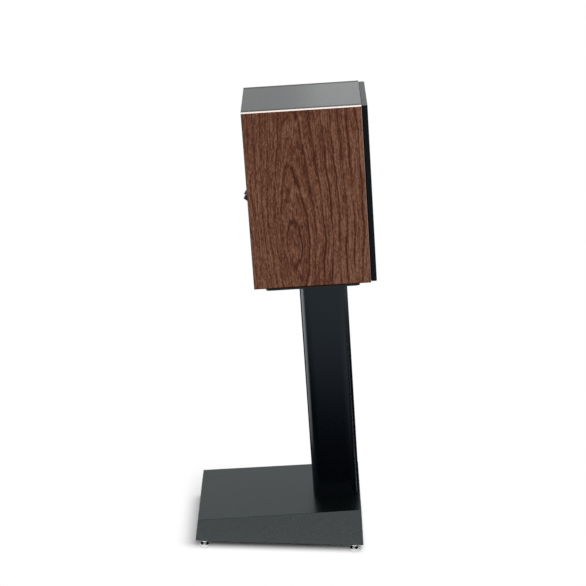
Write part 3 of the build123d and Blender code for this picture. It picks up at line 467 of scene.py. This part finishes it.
def to_object(name, mesh, sharp_deg=40):
    """A smooth-shaded object from a mesh, with edges sharper than the angle left crisp."""
    data = bpy.data.meshes.new(name)
    bmesh.ops.recalc_face_normals(mesh, faces=mesh.faces)
    mesh.to_mesh(data)
    mesh.free()
    data.polygons.foreach_set("use_smooth", [True] * len(data.polygons))
    data.set_sharp_from_angle(angle=math.radians(sharp_deg))
    made = bpy.data.objects.new(name, data)
    bpy.context.scene.collection.objects.link(made)
    return made


def add_ring(mesh, outline, matrix, steps):
    """Turns a closed outline of (radius, height) about the matrix's Z axis."""
    loops = []
    for i in range(steps):
        angle = 2 * math.pi * i / steps
        turn = (math.cos(angle), math.sin(angle))
        points = [Vector((r * turn[0], r * turn[1], h)) / 1000 for r, h in outline]
        loops.append([mesh.verts.new(matrix @ p) for p in points])
    for this, following in zip(loops, loops[1:] + loops[:1]):
        for k in range(len(outline)):
            after = (k + 1) % len(outline)
            mesh.faces.new((this[k], following[k], following[after], this[after]))


def lathe(name, outline, *matrices, steps=192):
    """One object with the outline turned about the Z axis of each matrix."""
    mesh = bmesh.new()
    for matrix in matrices:
        add_ring(mesh, outline, matrix, steps)
    return to_object(name, mesh)


def bow(centre, half_width, height, start_deg, end_deg, count=14):
    """Points on an ellipse between two angles."""
    angles = [math.radians(start_deg + (end_deg - start_deg) * i / count) for i in range(count + 1)]
    across, up = centre
    return [(across + half_width * math.cos(a), up + height * math.sin(a)) for a in angles]


def skin(top, thickness):
    """A closed outline: the given upper line and the same line one thickness lower."""
    return top + [(r, h - thickness) for r, h in reversed(top)]


def dress(piece, slot, *replaced):
    """Gives a new piece the slot's material and lets it stand for CAD nodes."""
    piece.data.materials.append(materials[slot])
    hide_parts(*replaced)
    return piece


def roll(prefix, driver, node, *, lip, crest, rim, thickness):
    """A rubber half roll, split at its crest: only the outer half is attached to the enclosure and
    stand.
    """
    lip_outer, lip_inner, lip_top = lip
    crest_radius, crest_top = crest
    rim_outer, rim_inner, rim_top = rim
    outer_bow = bow((crest_radius, lip_top), lip_inner - crest_radius, crest_top - lip_top, 0, 90)
    inner_bow = bow((crest_radius, rim_top), crest_radius - rim_outer, crest_top - rim_top, 90, 180)
    outer = lathe(prefix + "_outer", skin([(lip_outer, lip_top), *outer_bow], thickness), driver)
    inner = lathe(prefix + "_inner", skin([*inner_bow, (rim_inner, rim_top)], thickness), driver)
    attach(dress(outer, "rubber", node), ROOT)
    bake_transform(dress(inner, "rubber", node))


def make_surrounds():
    """The drivers' rolls. A lip or rim is its outer radius, inner radius and height."""
    roll("woofer_roll", WOOFER, "woofer_surround",
         lip=(71.4, 66.0, -6.0), crest=(60.5, -1.0), rim=(54.0, 50.4, -8.5), thickness=0.9)
    roll("tweeter_roll", TWEETER, "tweeter_surround",
         lip=(19.9, 15.9, -12.4), crest=(14.6, -11.1), rim=(13.4, 12.5, -12.2), thickness=0.3)


def make_spider():
    """Corrugated cloth disc behind the cone."""
    level = -42.0
    rim, outermost_wave = 42.6, 38.0
    step, steps, steps_per_wave = 0.25, 100, 24.9
    half_height = 1.1
    line = [(rim, level)]
    for i in range(steps):
        lift = half_height * (1 - math.cos(2 * math.pi * i / steps_per_wave))
        line.append((outermost_wave - step * i, level + lift))
    piece = lathe("spider_cloth_disc", skin(line, 0.5), WOOFER, steps=96)
    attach(dress(piece, "spider_cloth", "woofer_spider"), ROOT)


def make_isolation_pads():
    """Four barrel-shaped rubber pads between the stand's plate and the cabinet."""
    bore, end_radius, bulge = 3.2, 14.2, 1.0
    low, middle, high = 0.05, 3.0, 5.95
    side = bow((end_radius, middle), bulge, high - middle, -90, 90, 10)
    outline = [(bore, low), *side, (bore, high)]
    plate_top = 0.520
    places = [(x, y, plate_top) for x in (-0.069, 0.069) for y in (-0.05325, 0.09675)]
    matrices = [LEANING @ Matrix.Translation(place) for place in places]
    piece = lathe("rubber_pads", outline, *matrices, steps=72)
    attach(dress(piece, "rubber", "isolation_pads"), ROOT)


def felt_pad(name, at_wall, inside, thin_axis):
    """A crowned felt pad between two corners, flat on the wall that it is glued to."""
    mesh = bmesh.new()
    bmesh.ops.create_cube(mesh, size=2)
    bmesh.ops.subdivide_edges(mesh, edges=mesh.edges, cuts=9, use_grid_fill=True)
    at_wall, inside = Vector(at_wall), Vector(inside)
    middle = (at_wall + inside) / 2
    half = (inside - at_wall) / 2
    border, thinned = 0.25, 0.35
    for vert in mesh.verts:
        share = vert.co.copy()
        reach = max(abs(share[k]) for k in range(3) if k != thin_axis)
        soft = 1 - thinned * max(0, reach - (1 - border)) ** 2 / border ** 2
        share[thin_axis] = (share[thin_axis] + 1) * soft - 1
        vert.co = LEANING @ Vector(middle[k] + half[k] * share[k] for k in range(3))
    piece = to_object(name, mesh, 60)
    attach(dress(piece, "felt", "damping_pads"), ROOT)


def make_felt():
    """Pads on both sides and under the top."""
    felt_pad("felt_left", (-0.0965, -0.0229, 0.553), (-0.0785, 0.1195, 0.778), 0)
    felt_pad("felt_right", (0.0965, -0.0229, 0.553), (0.0785, 0.1195, 0.778), 0)
    felt_pad("felt_top", (-0.0665, -0.0229, 0.899), (0.0665, 0.1195, 0.881), 2)


# The stage: floor, light and camera


def plane(name, half_size, height):
    """A flat square over the origin."""
    mesh = bmesh.new()
    bmesh.ops.create_grid(mesh, x_segments=1, y_segments=1, size=half_size)
    made = to_object(name, mesh)
    made.location.z = height
    return made


def outside(s, value, *, low, low_weight, high, high_weight):
    """How far a point lies outside two limits along one axis, weighted."""
    below = s.math("MAXIMUM", s.minus(low, value), 0.0)
    beyond = s.math("MAXIMUM", s.minus(value, high), 0.0)
    return s.total((beyond, high_weight), (below, low_weight))


def make_floor():
    """A pale floor that takes the object's shadow round the base and is plain white further out."""
    floor = plane("floor", half_size=40, height=-0.0003)
    s = Shader("floor_white")
    x, y, _ = s.split(s.place())
    beside = outside(s, x, low=-0.102, low_weight=1.7, high=0.135, high_weight=0.32)
    lengthwise = outside(s, y, low=-0.179, low_weight=4.0, high=0.187, high_weight=1.4)
    away = s.math("SQRT", s.times_plus(beside, beside, s.times(lengthwise, lengthwise)))
    blank = s.add("ShaderNodeEmission", {"Color": (1, 1, 1, 1), "Strength": 1.0}).outputs[0]
    matt = s.add("ShaderNodeBsdfDiffuse", {"Color": (0.9, 0.9, 0.9, 1)}).outputs[0]
    blank_share = s.fade(away, 0.0, 0.07)
    s.show(s.add("ShaderNodeMixShader", {0: blank_share, 1: matt, 2: blank}).outputs[0])
    floor.data.materials.append(s.material)


def make_flag():
    """A card on the floor that only glossy rays see: a painted dark reflection, with a glowing
    strip behind the stand that paints a highlight.
    """
    flag = plane("flag", half_size=2.4, height=0.002)
    s = Shader("flag_card")
    spot = s.place()
    far = s.add("ShaderNodeVectorMath", {0: spot}, operation="LENGTH").outputs["Value"]
    x, y, _ = s.split(spot)
    # The strip widens like a fan towards the back and brightens as it goes; its glow is a painted
    # highlight in the glossy parts
    slant = s.math("DIVIDE", x, s.math("MAXIMUM", s.math("ADD", y, 0.06), 0.05))
    strip = s.times(s.fade(slant, -0.45, -0.15), s.fade(slant, 0.75, 0.40))
    strip_share = s.times(strip, s.fade(far, 2.3, 2.1))
    rise = s.math("MAXIMUM", s.times_plus(far, 1.05, -0.280), 0.0)
    rise = s.math("POWER", s.math("MINIMUM", rise, 1.0), 0.6)
    painted_highlight_glow = s.times(strip, s.times(rise, 4.5))
    # The dark part reaches further on the far side, and the card stops short of the base
    far_side = s.math("DIVIDE", s.minus(s.times(x, 0.9), s.times(y, 0.5)), far)
    nearer = s.times(far, s.fade(far_side, -0.1, 0.4, 1.0, 0.42))
    # Painted reflection: the card's dark part darkens what the glossy parts reflect
    painted_dark_reflection = s.fade(nearer, 1.60, 0.55)
    from_side = s.minus(s.math("ABSOLUTE", x), 0.17)
    from_end = s.minus(s.math("ABSOLUTE", y), 0.22)
    from_base = s.math("MAXIMUM", from_side, from_end)
    share = s.times(s.math("MAXIMUM", painted_dark_reflection, strip_share), s.fade(from_base, 0.0, 0.05))
    clear = s.add("ShaderNodeBsdfTransparent", {}).outputs[0]
    card = s.add("ShaderNodeEmission", {"Color": (1, 1, 1, 1), "Strength": painted_highlight_glow}).outputs[0]
    s.show(s.add("ShaderNodeMixShader", {0: share, 1: clear, 2: card}).outputs[0])
    flag.data.materials.append(s.material)
    for ray in ("camera", "diffuse", "transmission", "volume_scatter", "shadow"):
        setattr(flag, "visible_" + ray, False)


def make_world():
    """White to the camera and in reflections, and dimmer where it lights the matt surfaces."""
    world = bpy.data.worlds.new("studio")
    bpy.context.scene.world = world
    world.use_nodes = True
    tree = world.node_tree
    background = tree.nodes["Background"]
    path = tree.nodes.new("ShaderNodeLightPath")
    seen = tree.nodes.new("ShaderNodeMath")
    seen.operation = "MAXIMUM"
    tree.links.new(path.outputs["Is Camera Ray"], seen.inputs[0])
    tree.links.new(path.outputs["Is Glossy Ray"], seen.inputs[1])
    level = tree.nodes.new("ShaderNodeMapRange")
    level.inputs["To Min"].default_value = 0.6
    level.inputs["To Max"].default_value = 1.0
    tree.links.new(seen.outputs[0], level.inputs["Value"])
    tree.links.new(level.outputs[0], background.inputs["Strength"])
    background.inputs["Color"].default_value = (1, 1, 1, 1)


def softbox(name, *, spot, aim, width, height, watts, gloss_only=False):
    """A rectangular lamp that the camera doesn't see."""
    light = bpy.data.lights.new(name, "AREA")
    light.shape = "RECTANGLE"
    light.size = width
    light.size_y = height
    light.energy = watts
    made = bpy.data.objects.new(name, light)
    made.location = spot
    made.rotation_euler = (Vector(aim) - Vector(spot)).to_track_quat("-Z", "Y").to_euler()
    made.visible_camera = False
    made.visible_diffuse = not gloss_only
    bpy.context.scene.collection.objects.link(made)


def make_camera():
    """Looks at the left side from above, as the photograph does."""
    level = math.cos(PITCH)
    ahead = Vector((level * math.cos(YAW), level * math.sin(YAW), -math.sin(PITCH)))
    right = ahead.cross(Vector((0, 0, 1))).normalized()
    up = right.cross(ahead)
    tilted_right = right * math.cos(TILT) + up * math.sin(TILT)
    tilted_up = up * math.cos(TILT) - right * math.sin(TILT)
    data = bpy.data.cameras.new("camera")
    data.sensor_width = SENSOR_MM
    data.lens = FOCAL_PIXELS / PHOTO_PIXELS * SENSOR_MM
    camera = bpy.data.objects.new("camera", data)
    turn = Matrix((tilted_right, tilted_up, -ahead)).transposed().to_4x4()
    camera.matrix_world = Matrix.Translation(CAMERA_PLACE) @ turn
    bpy.context.scene.collection.objects.link(camera)
    bpy.context.scene.camera = camera


materials = paints()
for name, node in nodes.items():
    node.data.materials.clear()
    node.data.materials.append(materials[slot_of[name]])
make_surrounds()
make_spider()
make_isolation_pads()
make_felt()
make_floor()
make_world()
make_flag()
softbox("overhead", spot=(0.2, -0.5, 2.7), aim=(0, 0, 0.3), width=1.6, height=1.6, watts=45)
softbox("card", spot=(1.2, -0.40, 1.4), aim=(0, 0, 0.95), width=0.9, height=0.6, watts=1.02,
        gloss_only=True)
make_camera()
bpy.context.scene.view_settings.view_transform = "Standard"
